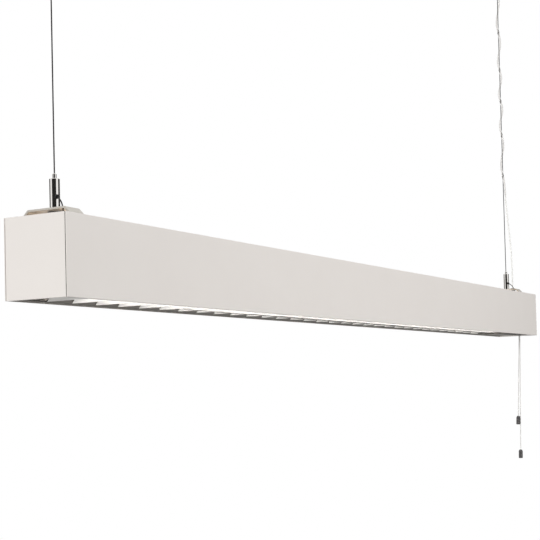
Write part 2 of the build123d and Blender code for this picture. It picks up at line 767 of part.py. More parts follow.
def lamp_pins(y, z, diameter=PIN_D):
    pins = []
    for side in (-1, 1):
        pin_y = y + side * PIN_SPACING / 2
        pins.append(rod_x(LAMP_LEFT - PIN_L, LAMP_LEFT, pin_y, z, diameter))
        pins.append(rod_x(LAMP_RIGHT, LAMP_RIGHT + PIN_L, pin_y, z, diameter))
    return group(*pins)


def lamp_rotors(y, z):
    """Discs in the lampholders that turn with the lamp's pins."""
    inset = HOLDER_GAP + ROTOR_END_GAP
    holes = lamp_pins(y, z, PIN_D + 2 * PIN_FIT).solids()
    left = rod_x(LAMP_LEFT - inset - ROTOR_T, LAMP_LEFT - inset, y, z, 2 * ROTOR_R)
    right = rod_x(LAMP_RIGHT + inset, LAMP_RIGHT + inset + ROTOR_T, y, z, 2 * ROTOR_R)
    return group(left - holes, right - holes)


# Louvre and bottom plates


def light_channel(inset, x_low, x_high):
    """Space between the two reflectors' curved faces, drawn in by the given inset."""
    foot = REFLECTOR_FOOT - inset
    neck = LOUVRE_TOP_W / 2 - inset
    outline = [
        Line((-foot, LOUVRE_LOW), (foot, LOUVRE_LOW)),
        bowed((foot, LOUVRE_LOW), (neck, LOUVRE_TOP), -REFLECTOR_BOW),
        Line((neck, LOUVRE_TOP), (-neck, LOUVRE_TOP)),
        bowed((-neck, LOUVRE_TOP), (-foot, LOUVRE_LOW), -REFLECTOR_BOW),
    ]
    return along_x(make_face(outline), x_low, x_high)


def reflector(side):
    """Curved side reflector on a flat flange, the full length of the louvre."""
    foot = REFLECTOR_FOOT
    neck = LOUVRE_TOP_W / 2
    flange_top = LOUVRE_LOW + FLANGE_T
    section = make_face(
        [
            Line((LOUVRE_HALF, LOUVRE_LOW), (foot, LOUVRE_LOW)),
            bowed((foot, LOUVRE_LOW), (neck, LOUVRE_TOP), -REFLECTOR_BOW),
            Line((neck, LOUVRE_TOP), (neck + REFLECTOR_T, LOUVRE_TOP)),
            bowed((neck + REFLECTOR_T, LOUVRE_TOP), (foot + REFLECTOR_T, flange_top), REFLECTOR_BOW),
            Line((foot + REFLECTOR_T, flange_top), (LOUVRE_HALF, flange_top)),
            Line((LOUVRE_HALF, flange_top), (LOUVRE_HALF, LOUVRE_LOW)),
        ]
    )
    solid = along_x(section, LOUVRE_LEFT, LOUVRE_RIGHT)
    return solid if side > 0 else mirror(solid, about=Plane.XZ)


def pressed_flank(start, end):
    """Blade's flank from start to end, hollowed to the left and pressed in equal flats."""
    chord = Vector(*end) - Vector(*start)
    left = Vector(-chord.Y, chord.X).normalized()
    shares = [flat / BLADE_FLATS for flat in range(BLADE_FLATS + 1)]
    return Polyline(*[Vector(*start) + chord * s + left * (4 * BLADE_BOW * s * (1 - s)) for s in shares])


def blade_outline(top_half, foot_half, foot_z):
    """Section of a cross blade as (X, Z): a V with hollowed flanks."""
    return make_face(
        [
            Line((-foot_half, foot_z), (foot_half, foot_z)),
            *pressed_flank((foot_half, foot_z), (top_half, LOUVRE_TOP)).edges(),
            Line((top_half, LOUVRE_TOP), (-top_half, LOUVRE_TOP)),
            *pressed_flank((-top_half, LOUVRE_TOP), (-foot_half, foot_z)).edges(),
        ]
    )


def louvre_blades():
    """One folded blade between each two cells, trimmed to the reflectors."""
    outer = blade_outline(BLADE_TOP_W / 2, BLADE_FOOT_W / 2, LOUVRE_LOW)
    hollow_foot = LOUVRE_LOW + LOUVRE_H / 2
    hollow_half = BLADE_TOP_W / 2 - BLADE_SHEET
    hollow = make_face(Polyline((-hollow_half, LOUVRE_TOP), (hollow_half, LOUVRE_TOP), (0, hollow_foot), close=True))
    full = extrude(Plane.XZ * (outer - hollow), REFLECTOR_FOOT, both=True)
    blade = full & light_channel(BLADE_END_GAP, -BLADE_TOP_W, BLADE_TOP_W)
    places = [LOUVRE_LEFT + cell * LOUVRE_PITCH for cell in range(1, LOUVRE_CELLS)]
    return group(*[Pos(x, 0, 0) * blade for x in places])


def louvre_end_plates():
    return group(
        light_channel(0, LOUVRE_LEFT - LOUVRE_END_T, LOUVRE_LEFT),
        light_channel(0, LOUVRE_RIGHT, LOUVRE_RIGHT + LOUVRE_END_T),
    )


def louvre_clips():
    """Leaf springs that stand on the flanges and press on the housing's seat ribs."""
    outer = INNER_HALF - SEAT_RIB_W - CLIP_GAP
    low = LOUVRE_LOW + FLANGE_T
    leaf = make_face(
        [
            Line((outer - CLIP_T, low), (outer, low)),
            bowed((outer, low), (outer - 2 * CLIP_T, low + CLIP_H), CLIP_T),
            Line((outer - 2 * CLIP_T, low + CLIP_H), (outer - 3 * CLIP_T, low + CLIP_H)),
            bowed((outer - 3 * CLIP_T, low + CLIP_H), (outer - CLIP_T, low), -CLIP_T),
        ]
    )
    clips = []
    for x in (LOUVRE_LEFT + CLIP_FROM_END, LOUVRE_RIGHT - CLIP_FROM_END):
        back = along_x(leaf, x - CLIP_W / 2, x + CLIP_W / 2)
        clips += [back, mirror(back, about=Plane.XZ)]
    return group(*clips)


def bottom_plate(x_low, x_high):
    """Plate that closes the housing beside the louvre, with lips inside the seat ribs."""
    lip_outer = INNER_HALF - SEAT_RIB_W - RIB_GAP
    half = rect(0, LOUVRE_HALF, LOUVRE_LOW, SWITCH_PLATE_TOP)
    half += rect(lip_outer - PLATE_LIP_T, lip_outer, SWITCH_PLATE_TOP, SWITCH_PLATE_TOP + PLATE_LIP_H)
    return along_x(both_sides(half), x_low, x_high)


def left_end_strip():
    """Hat-section strip under the left lampholder, its flanges in line with the louvre's."""
    lip_outer = INNER_HALF - SEAT_RIB_W - RIB_GAP
    lip_inner = lip_outer - PLATE_LIP_T
    lip_top = SWITCH_PLATE_TOP + PLATE_LIP_H
    half = rect(lip_inner, LOUVRE_HALF, LOUVRE_LOW, SWITCH_PLATE_TOP)
    half += rect(lip_inner, lip_outer, SWITCH_PLATE_TOP, lip_top) + rect(0, lip_inner, lip_top - PLATE_T, lip_top)
    left = LEFT_END + CAP_T + LEFT_STRIP_GAP
    return along_x(both_sides(half), left, LOUVRE_LEFT - LOUVRE_END_T - PLATE_END_GAP)


def switch_plate():
    plate = bottom_plate(LOUVRE_RIGHT + LOUVRE_END_T + PLATE_END_GAP, RIGHT_END - CAP_T - PLATE_END_GAP)
    return plate - bush_well(LOUVRE_LOW, SWITCH_PLATE_TOP)


# Pull switch, cords and grips


def pull_places():
    """Places along X of the short cord and of the long one."""
    return PULL_MID_X - PULL_SPACING / 2, PULL_MID_X + PULL_SPACING / 2


def bush_well(z_low, z_high):
    """Slot round both cords that takes the neck of their guide bush."""
    slot = SlotCenterToCenter(PULL_SPACING, CORD_BUSH_NECK_D + 2 * CORD_BUSH_FIT)
    return Pos(PULL_MID_X, PULL_Y, z_low) * extrude(slot, z_high - z_low)


def pull_switch_body():
    half_l = SWITCH_L / 2
    half_w = SWITCH_W / 2
    top = SWITCH_PLATE_TOP + SWITCH_H
    front, back = PULL_Y - half_w, PULL_Y + half_w
    body = block(PULL_MID_X - half_l, PULL_MID_X + half_l, front, back, SWITCH_PLATE_TOP, top)
    body = fillet(body.edges().filter_by(Axis.Z), SWITCH_EDGE_R)
    body -= bush_well(SWITCH_PLATE_TOP, CORD_BUSH_TOP)
    for x in pull_places():
        bore_d = PULL_CORD_D + 2 * PULL_CORD_CLEAR
        body -= rod_z(x, PULL_Y, CORD_BUSH_TOP, top - PULL_CORD_TOP_GAP, bore_d)
    return body


def bush_half(x, diameter, z_low, z_high):
    """Half of a slot-shaped disc: round about the cord at x, flat at the split between the cords."""
    side = 1 if x > PULL_MID_X else -1
    reach = PULL_SPACING / 2 - CORD_BUSH_SPLIT / 2
    section = Circle(diameter / 2) & (Pos(side * diameter / 2, 0) * Rectangle(diameter, diameter))
    section += Pos(-side * reach / 2, 0) * Rectangle(reach, diameter)
    return Pos(x, PULL_Y, z_low) * extrude(section, z_high - z_low)


def cord_bush(x):
    """Half of the guide bush that hangs below the plate, with its neck up in the switch."""
    flange = bush_half(x, CORD_BUSH_D, CORD_BUSH_LOW, LOUVRE_LOW)
    flange = chamfer(flange.faces().sort_by(Axis.Z)[0].edges().filter_by(GeomType.CIRCLE), CORD_BUSH_BEVEL)
    half = flange + bush_half(x, CORD_BUSH_NECK_D, LOUVRE_LOW, CORD_BUSH_TOP)
    return half - rod_z(x, PULL_Y, CORD_BUSH_LOW, CORD_BUSH_TOP, PULL_CORD_D + 2 * PULL_CORD_CLEAR)


def pull_hang(x, length, lean):
    """Where a cord starts to lean, where it enters its grip, and its direction there."""
    bend = Vector(x, PULL_Y, CORD_BUSH_LOW - PULL_BEND_DROP)
    entry = Vector(x, PULL_Y + lean, BOTTOM - length)
    return bend, entry, (entry - bend).normalized()


def pull_cord(x, length, lean, name):
    bend, entry, way = pull_hang(x, length, lean)
    top = Vector(x, PULL_Y, SWITCH_PLATE_TOP + SWITCH_H - 2 * PULL_CORD_TOP_GAP)
    route = rounded_route([top, bend, entry + way * GRIP_CORD_L])
    return tube(route.edges(), PULL_CORD_D, name)[0]


def pull_grip(x, length, lean):
    """Small weight with a sloping shoulder, bored for the cord and hanging in line with it."""
    cord_r = PULL_CORD_D / 2
    weight = turned(
        [
            (cord_r, 0),
            (GRIP_NECK_D / 2, 0),
            (GRIP_D / 2, -GRIP_SHOULDER_L),
            (GRIP_D / 2, -GRIP_L + GRIP_BEVEL),
            (GRIP_D / 2 - GRIP_BEVEL, -GRIP_L),
            (0, -GRIP_L),
            (0, -GRIP_CORD_L),
            (cord_r, -GRIP_CORD_L),
        ]
    )
    _, entry, way = pull_hang(x, length, lean)
    return Plane(entry, x_dir=(1, 0, 0), z_dir=-way) * weight


def all_nodes():
    short_x, long_x = pull_places()
    nodes = {
        "left_ceiling_base": ceiling_base(-WIRE_X, CUP_D - 2 * CUP_WALL - 2 * BASE_FIT),
        "left_ceiling_cup": ceiling_shell(-WIRE_X, CUP_D, CUP_WALL),
        "canopy_base": canopy_base(),
        "canopy_cover": canopy_cover(),
        "canopy_screws": group(
            *[canopy_screw(side, CANOPY_SCREW_D, CANOPY_SCREW_HEAD_D) for side in (-1, 1)]
        ),
        "canopy_terminal_block": canopy_terminal_block(),
        "cable_strain_relief": cable_strain_relief(),
        "power_cable": power_cable(),
        "cable_grommet": cable_grommet(),
        "housing_profile": housing_profile(),
        "left_end_cap": end_cap(LEFT_END, 1),
        "right_end_cap": end_cap(RIGHT_END, -1),
        "gripper_nuts": group(gripper_nut(-WIRE_X), gripper_nut(WIRE_X)),
        "ballast": ballast(),
        "ballast_screws": ballast_screws(),
        "mains_terminal_block": mains_terminal_block(),
        "louvre_front_reflector": reflector(-1),
        "louvre_back_reflector": reflector(1),
        "louvre_blades": louvre_blades(),
        "louvre_end_plates": louvre_end_plates(),
        "louvre_clips": louvre_clips(),
        "left_end_strip": left_end_strip(),
        "switch_plate": switch_plate(),
        "pull_switch_body": pull_switch_body(),
        "short_pull_bush": cord_bush(short_x),
        "short_pull_cord": pull_cord(short_x, SHORT_PULL_L, SHORT_PULL_LEAN, "short_pull_cord"),
        "short_pull_grip": pull_grip(short_x, SHORT_PULL_L, SHORT_PULL_LEAN),
        "long_pull_bush": cord_bush(long_x),
        "long_pull_cord": pull_cord(long_x, LONG_PULL_L, LONG_PULL_LEAN, "long_pull_cord"),
        "long_pull_grip": pull_grip(long_x, LONG_PULL_L, LONG_PULL_LEAN),
    }
    for side, x in (("left", -WIRE_X), ("right", WIRE_X)):
        nodes[f"{side}_wire"] = wire(x)
        nodes[f"{side}_wire_end"] = wire_end(x)
        nodes[f"{side}_wire_tail"] = wire_tail(x, f"{side}_wire_tail")
        nodes[f"{side}_bracket"] = bracket(x, with_grommet=side == "right")
        nodes[f"{side}_gripper_body"] = gripper_body(x)
        nodes[f"{side}_gripper_plunger"] = gripper_plunger(x)
        nodes[f"{side}_exit_bush"] = exit_bush(x)
    lamps = (("lower", 0, LOWER_LAMP_Z, WEB_LOW), ("upper", UPPER_LAMP_Y, UPPER_LAMP_Z, WEB_TOP))
    for level, y, z, web_z in lamps:
        nodes[f"{level}_lampholders"] = lampholders(y, z, web_z)
        nodes[f"{level}_lamp_tube"] = lamp_tube(y, z)
        nodes[f"{level}_lamp_caps"] = lamp_caps(y, z)
        nodes[f"{level}_lamp_pins"] = lamp_pins(y, z)
        nodes[f"{level}_lamp_rotors"] = lamp_rotors(y, z)
    return nodes


os.makedirs("parts", exist_ok=True)
for node, shape in all_nodes().items():
    export_step(shape, f"parts/{node}.step")
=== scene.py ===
import math

import bpy
import numpy as np
from mathutils import Matrix, Vector


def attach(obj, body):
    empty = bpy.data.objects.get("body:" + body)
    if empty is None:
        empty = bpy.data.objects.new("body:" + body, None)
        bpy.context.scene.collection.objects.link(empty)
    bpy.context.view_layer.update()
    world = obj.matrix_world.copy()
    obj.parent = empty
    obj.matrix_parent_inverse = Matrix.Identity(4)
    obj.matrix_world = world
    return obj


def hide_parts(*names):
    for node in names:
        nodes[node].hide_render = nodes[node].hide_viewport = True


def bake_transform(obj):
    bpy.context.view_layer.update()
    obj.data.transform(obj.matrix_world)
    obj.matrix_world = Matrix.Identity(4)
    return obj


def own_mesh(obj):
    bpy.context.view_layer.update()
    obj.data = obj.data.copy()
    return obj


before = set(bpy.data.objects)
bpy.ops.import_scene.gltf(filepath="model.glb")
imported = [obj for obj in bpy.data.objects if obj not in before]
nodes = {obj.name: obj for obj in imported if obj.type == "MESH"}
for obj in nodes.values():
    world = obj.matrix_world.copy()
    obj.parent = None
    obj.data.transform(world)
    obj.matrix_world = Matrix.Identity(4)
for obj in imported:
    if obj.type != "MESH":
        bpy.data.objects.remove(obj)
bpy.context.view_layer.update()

MM = 0.001

# Camera: a fit to the housing's edges in a picture 540 pixels square
PICTURE_PX = 540
FOCAL_PX = 1210.1
AXIS_BELOW_MIDDLE_PX = 75.0
SENSOR_MM = 36.0
CAMERA_PLACE = (-1.65766, -0.79224, -0.85698)
CAMERA_PITCH, CAMERA_YAW, CAMERA_ROLL = 2.0, 60.303, -1.412

# Smooth lines of the cords
ROUTE_RESOLUTION = 24
FEWEST_POINTS = 3
NEARLY_ALONG = 0.9  # a line that starts this nearly along y takes x to find its first way across
END_POINTS = 4  # as many of a line's last points give the direction of its end

# Wires, in millimetres
WIRE_X = 702.0
WIRE_D = 1.5
WIRE_LOW, WIRE_HIGH = -660.75, -27.4
ROPE_STRANDS, STRAND_SIDES = 6, 6
ROPE_CORE_R = 0.3
WIRE_LAY = 10.0  # one turn of the rope's strands
SEGMENTS_PER_LAY = 10

# Short tails of the wires, out of the grippers' sides
BRACKET_TOP = -671.5
TAIL_HEADING_DEG = 240.7
TAIL_ROUTE = ((3.6, 12.5), (9.0, 12.0), (22.0, 2.5), (23.5, -9.0))  # reach, and height over the bracket
FERRULE_L, FERRULE_OVERLAP, FERRULE_SIDES = 4.0, 0.5, 14
FERRULE_RADII = (0.8, 1.1, 1.1, 0.92, 0.92, 1.1, 1.1, 0.85)  # along it, with a crimp in the middle

# Power cable, wound round the right wire
CABLE_D = 4.0
CABLE_STEP = 1.6
SHEATH_SIDES = 14
RELIEF_LOW = -51.425
CABLE_SPLIT = -88.0  # below this height the cable is a piece that goes with the suspension
CABLE_END = -706.8
CABLE_TOP_ROUTE = ((710.0, 0.0, -12.0), (710.0, 0.0, -30.0), (710.0, 0.0, RELIEF_LOW), (709.0, -0.6, -66.0))
CABLE_LOW_ROUTE = (
    (703.6, -4.2, -505.0), (703.2, -9.5, -562.0), (702.0, -13.0, -605.0), (702.0, -13.0, -640.0),
    (702.0, -13.0, CABLE_END),
)
WINDING_TURNS = 5
WINDING_R = 3.05
WINDING_START_DEG = -70.0
WINDING_TOP, WINDING_PITCH = -82.0, 76.4
WINDING_UNEVEN = 0.18  # how much the pitch drifts, as a share of it
WINDING_LOW = -480.0  # below this the cable runs free, and its sheath is clean and clear
POINTS_PER_TURN = 14
CABLE_CORES, CORE_SIDES = 3, 6
CORE_D = 0.6
CORE_REACH = 0.62
CORE_LAY = 45.0

# Pull cords
PULL_Y = -20.0
PULL_TOP, PULL_BEND = -742.5, -768.0
PULL_STRAIGHT = 25.0  # from the bend to the next point of the route
HOUSING_LOW = -764.0
GRIP_CORD = 11.0  # length of cord inside a grip
# Place along the housing, drop from its lower edge to the grip, lean to the back, and whole length
PULLS = {"short": (711.6, 163.0, 6.7, 195.6), "long": (716.4, 231.0, 5.6, 263.6)}
BRAID_LAY = 8.0
SEGMENTS_PER_BRAID = 16
BRAID_CORE_R, BRAID_CORE_SIDES = 0.55, 8
BRAID_YARNS, YARN_SIDES = 4, 5
YARN_R, YARN_REACH, YARN_WEAVE = 0.25, 0.6, 0.15

# Tie strip under the louvre's blades
TIE_ENDS = (-472.0, 655.8)
TIE_W, TIE_LOW, TIE_TOP = 0.8, -763.3, -762.0
TIE_BEVEL = 0.2
TIE_SHADE_RUN = (-470.0, 20.0)  # along the louvre, from plain white to full painted shade
TIE_SHADE_PATCH = 25.0

# Small screws
MAINS_SCREW_D, MAINS_SCREW_H, MAINS_SCREW_BEVEL = 4.3, 1.3, 0.3
MAINS_SCREW_SIDES = 32
MAINS_SCREWS_X, MAINS_SCREW_Y, MAINS_WELL_LOW = (693.0, 711.0), -13.0, -705.8
MAINS_SLOT_W, MAINS_SLOT_H, MAINS_SLOT_DEG = 0.8, 1.4, 35.0
CROSS_ARM, CROSS_W, CROSS_DEPTH = 1.05, 0.75, 0.06
BALLAST_SCREWS = ((-186.0, -13.0, -713.1), (186.0, -13.0, -713.1))
CANOPY_SCREW_FACE = (702.0, 39.8, -3.0)
LOOKS_UP, LOOKS_SIDEWAYS = 0.9, 0.1  # least and most height of the normal of such a face

# Limits of the finishes
CAP_EDGE_Y = 38.2  # from the middle to where an end cap's rounded edge turns into the shadow gap
SHADE_EDGE_Y = 39.05  # inside this, below the web, the housing's walls get painted shade
CHANNEL_TOP, LOUVRE_LOW = -722.0, -762.0  # these walls are painted dark as shade, and paler below the louvre
PALE_PLATE_Y = 5.0  # behind this line the switch plate is pale: painted light
RIGHT_PLATE_X = 600.0  # past this the louvre's last blade and its right end plate are dark: painted shade
LAMP_MIDDLE, LAMP_HALF = 16.0, 710.5  # of the lamps' tubes, along the housing
LAMP_DIM_RUN, LAMP_END_GLOW = 40.0, 0.25  # the run at a tube's end that dims, and the share of glow left

# Nodes of the finishes
MIX_SHARE, MIX_FIRST, MIX_SECOND, MIX_RESULT = 0, 6, 7, 2  # a Mix node's sockets for colours
PATCH_DETAIL, GRAIN_DETAIL = 3.0, 2.0
GRAIN_SPREAD = (0.3, 0.7)  # the part of the grain's noise that the gloss follows

# Studio, in metres
AMBIENT = 0.55
LAMP_AIM = (0, 0, -0.7)
FLOOR_SIZE, FLOOR_HEIGHT = 24, -5.0
FLOOR_GLOW = 0.32  # lift of the floor where it is seen, so that it stays pale far from the lamps
CARD_HEIGHT, CARD_MIDDLE = 6.0, 0.2
# Soft lamps: place, width and power in watts
STUDIO_LAMPS = {
    "end_lamp": ((-3.5, -0.3, -1.5), 2.2, 46.0),
    "front_lamp": ((0.1, -1.7, -0.05), 1.5, 16.0),
    "back_lamp": ((-1.2, 3.8, 0.6), 2.6, 34.0),
}
# Dark cards that show only in gloss: place, bearing that they face in degrees, and width
CARDS = {
    "camera_card": ((-4.57, -2.03), 24.0, 9.0),
    "left_card": ((-1.2, 6.0), 281.0, 5.0),
    "right_card": ((5.0, -3.2), 150.0, 8.0),
}


def set_camera():
    pitch, yaw, roll = (math.radians(a) for a in (CAMERA_PITCH, CAMERA_YAW, CAMERA_ROLL))
    forward = Vector((math.cos(pitch) * math.sin(yaw), math.cos(pitch) * math.cos(yaw), math.sin(pitch)))
    level = Vector((math.cos(yaw), -math.sin(yaw), 0))
    rise = level.cross(forward)
    right = math.cos(roll) * level + math.sin(roll) * rise
    up = math.cos(roll) * rise - math.sin(roll) * level
    data = bpy.data.cameras.new("photo_camera")
    data.sensor_width = SENSOR_MM
    data.lens = SENSOR_MM * FOCAL_PX / PICTURE_PX
    data.shift_y = AXIS_BELOW_MIDDLE_PX / PICTURE_PX
    camera = bpy.data.objects.new("photo_camera", data)
    bpy.context.scene.collection.objects.link(camera)
    turn = Matrix((right, up, -forward)).transposed().to_4x4()
    camera.matrix_world = Matrix.Translation(CAMERA_PLACE) @ turn
    bpy.context.scene.camera = camera


def route_line(points_mm):
    """The smooth line of a route, read from its NURBS spline, in metres."""
    curve = bpy.data.curves.new("route", "CURVE")
    curve.dimensions = "3D"
    curve.resolution_u = ROUTE_RESOLUTION
    spline = curve.splines.new("NURBS")
    spline.points.add(len(points_mm) - 1)
    for point, place in zip(spline.points, points_mm):
        point.co = (*(c * MM for c in place), 1)
    spline.order_u = 3
    spline.use_endpoint_u = True
    carrier = bpy.data.objects.new("route", curve)
    mesh = bpy.data.meshes.new_from_object(carrier)
    line = np.array([v.co for v in mesh.vertices], float)
    bpy.data.meshes.remove(mesh)
    bpy.data.objects.remove(carrier)
    bpy.data.curves.remove(curve)
    return line


def evenly(line, step_mm):
    """The line with points about a step apart, and how far along it each one is."""
    along = np.concatenate(([0], np.cumsum(np.linalg.norm(np.diff(line, axis=0), axis=1))))
    at = np.linspace(0, along[-1], max(FEWEST_POINTS, round(along[-1] / (step_mm * MM)) + 1))
    return np.stack([np.interp(at, along, line[:, k]) for k in range(3)], axis=1), at


def cross_ways(line):
    """Two directions across the line at each point, turning as little as possible along it."""
    ways = np.gradient(line, axis=0)
    ways /= np.linalg.norm(ways, axis=1)[:, None]
    first = np.cross(ways[0], (0, 1, 0) if abs(ways[0][1]) < NEARLY_ALONG else (1, 0, 0))
    sides = [first / np.linalg.norm(first)]
    for way in ways[1:]:
        side = sides[-1] - way * (sides[-1] @ way)
        sides.append(side / np.linalg.norm(side))
    sides = np.array(sides)
    return sides, np.cross(ways, sides)


def strand(line, angle, reach_mm, radius_mm, sides):
    """Points and faces of a round strand that runs about a line at an angle and a distance.

    The last two faces close its ends.
    """
    across, over = cross_ways(line)
    centre = line + (reach_mm * MM) * (np.cos(angle)[:, None] * across + np.sin(angle)[:, None] * over)
    across, over = cross_ways(centre)
    turn = np.arange(sides) * (2 * math.pi / sides)
    rings = centre[:, None] + radius_mm * MM * (
        np.cos(turn)[None, :, None] * across[:, None] + np.sin(turn)[None, :, None] * over[:, None]
    )
    last = (len(line) - 1) * sides
    faces = []
    for ring in range(0, last, sides):
        for side in range(sides):
            beside = (side + 1) % sides
            faces.append((ring + side, ring + beside, ring + sides + beside, ring + sides + side))
    faces.append(tuple(range(sides))[::-1])
    faces.append(tuple(range(last, last + sides)))
    return rings.reshape(-1, 3), faces


def strands_piece(name, parts, materials):
    """One mesh piece of several strands; each part is points, faces and the place of its material."""
    points, faces, slots, start = [], [], [], 0
    for part_points, part_faces, slot in parts:
        points.append(part_points)
        faces += [tuple(i + start for i in face) for face in part_faces]
        slots += [slot] * len(part_faces)
        start += len(part_points)
    mesh = bpy.data.meshes.new(name)
    mesh.from_pydata(np.concatenate(points).tolist(), [], faces)
    for material in materials:
        mesh.materials.append(material)
    mesh.polygons.foreach_set("material_index", slots)
    mesh.polygons.foreach_set("use_smooth", [len(face) == 4 for face in faces])
    mesh.update()
    piece = bpy.data.objects.new(name, mesh)
    bpy.context.scene.collection.objects.link(piece)
    return piece


def ferrule(name, line, material):
    """Crimped sleeve that carries on from a line's end."""
    way = line[-1] - line[-END_POINTS]
    way /= np.linalg.norm(way)
    run = np.linspace(-FERRULE_OVERLAP, FERRULE_L - FERRULE_OVERLAP, len(FERRULE_RADII)) * MM
    radii = np.array(FERRULE_RADII)[:, None, None]
    tube = strand(line[-1] + run[:, None] * way, run * 0, 0.0, radii, FERRULE_SIDES)
    return strands_piece(name, [(*tube, 0)], [material])


def wire_rope(name, line, at, material):
    """Steel rope of six strands laid round a core."""
    thick = WIRE_D / 3
    turn = at / (WIRE_LAY * MM) * 2 * math.pi
    parts = [(*strand(line, turn * 0, 0.0, ROPE_CORE_R, STRAND_SIDES), 0)]
    for place in range(ROPE_STRANDS):
        start = place * 2 * math.pi / ROPE_STRANDS
        parts.append((*strand(line, turn + start, thick, thick / 2, STRAND_SIDES), 0))
    return strands_piece(name, parts, [material])


def braided_cord(name, line, at, material):
    """Braid of four yarns laid each way, over and under each other, round a core."""
    turn = at / (BRAID_LAY * MM) * 2 * math.pi
    parts = [(*strand(line, turn * 0, 0.0, BRAID_CORE_R, BRAID_CORE_SIDES), 0)]
    for place in range(BRAID_YARNS):
        start = place * 2 * math.pi / BRAID_YARNS
        for way in (1, -1):
            weave = way * (-1) ** place * np.cos(2 * (start + way * 2 * turn))
            reach = (YARN_REACH + YARN_WEAVE * weave)[:, None]
            parts.append((*strand(line, start + way * turn, reach, YARN_R, YARN_SIDES), 0))
    return strands_piece(name, parts, [material])


def clear_cable(name, line, at, materials):
    """Clear sheath over three twisted cores, all open at their ends."""
    turn = at / (CORE_LAY * MM) * 2 * math.pi
    points, faces = strand(line, turn * 0, 0.0, CABLE_D / 2, SHEATH_SIDES)
    parts = [(points, faces[:-2], 0)]
    for place in range(CABLE_CORES):
        start = place * 2 * math.pi / CABLE_CORES
        points, faces = strand(line, turn + start, CORE_REACH, CORE_D / 2, CORE_SIDES)
        parts.append((points, faces[:-2], 1))
    return strands_piece(name, parts, materials)


def cable_route():
    points = list(CABLE_TOP_ROUTE)
    drift = WINDING_UNEVEN * WINDING_TURNS / (2 * math.pi)
    for step in range(WINDING_TURNS * POINTS_PER_TURN + 1):
        turn = step / POINTS_PER_TURN
        angle = math.radians(WINDING_START_DEG + 360 * turn)
        uneven = drift * math.sin(2 * math.pi * turn / WINDING_TURNS)
        points.append((
            WIRE_X + WINDING_R * math.cos(angle), WINDING_R * math.sin(angle),
            WINDING_TOP - WINDING_PITCH * (turn + uneven),
        ))
    return points + list(CABLE_LOW_ROUTE)


def tail_route(x):
    heading = math.radians(TAIL_HEADING_DEG)
    return [
        (x + reach * math.cos(heading), reach * math.sin(heading), BRACKET_TOP + height)
        for reach, height in TAIL_ROUTE
    ]


def pull_route(x, drop, lean):
    bend = Vector((x, PULL_Y, PULL_BEND))
    entry = Vector((x, PULL_Y + lean, HOUSING_LOW - drop))
    way = (entry - bend).normalized()
    straight = bend + way * PULL_STRAIGHT
    return [(x, PULL_Y, PULL_TOP), tuple(bend), tuple(straight), tuple(entry + way * GRIP_CORD)]


def linear(hex_colour):
    """Linear colour of an sRGB hex value."""
    parts = [int(hex_colour[place:place + 2], 16) / 255 for place in (1, 3, 5)]
    return (*(c / 12.92 if c <= 0.04045 else ((c + 0.055) / 1.055) ** 2.4 for c in parts), 1)


def add(tree, kind, inputs, **settings):
    """A node with its settings. An input that is another node's output is linked, and any other is set."""
    node = tree.nodes.new(kind)
    for name, value in settings.items():
        setattr(node, name, value)
    for name, value in inputs.items():
        if isinstance(value, bpy.types.NodeSocket):
            tree.links.new(value, node.inputs[name])
        else:
            node.inputs[name].default_value = value
    return node


def finish(name, light, dark, patch_mm, rough, grain_mm, grain_depth_mm, stretch=(1, 1, 1), **shader):
    """A finish whose colour drifts between two hex values in patches, with a grain in gloss and relief."""
    material = bpy.data.materials.new(name)
    material.use_nodes = True
    tree = material.node_tree
    body = tree.nodes["Principled BSDF"]
    for socket, value in shader.items():
        body.inputs[socket.replace("_", " ")].default_value = value
    place = add(tree, "ShaderNodeTexCoord", {}).outputs["Object"]
    place = add(tree, "ShaderNodeMapping", {"Vector": place, "Scale": stretch}).outputs["Vector"]
    patches = add(tree, "ShaderNodeTexNoise", {
        "Vector": place, "Scale": 1 / (patch_mm * MM), "Detail": PATCH_DETAIL,
    })
    colour = add(tree, "ShaderNodeMix", {
        MIX_SHARE: patches.outputs["Fac"], MIX_FIRST: linear(dark), MIX_SECOND: linear(light),
    }, data_type="RGBA")
    grain = add(tree, "ShaderNodeTexNoise", {
        "Vector": place, "Scale": 1 / (grain_mm * MM), "Detail": GRAIN_DETAIL,
    })
    gloss = add(tree, "ShaderNodeMapRange", {
        "Value": grain.outputs["Fac"], "From Min": GRAIN_SPREAD[0], "From Max": GRAIN_SPREAD[1],
        "To Min": rough[0], "To Max": rough[1],
    })
    relief = add(tree, "ShaderNodeBump", {
        "Height": grain.outputs["Fac"], "Distance": grain_depth_mm * MM, "Strength": 1.0,
    })
    tree.links.new(colour.outputs[MIX_RESULT], body.inputs["Base Color"])
    tree.links.new(gloss.outputs["Result"], body.inputs["Roughness"])
    tree.links.new(relief.outputs["Normal"], body.inputs["Normal"])
    return material


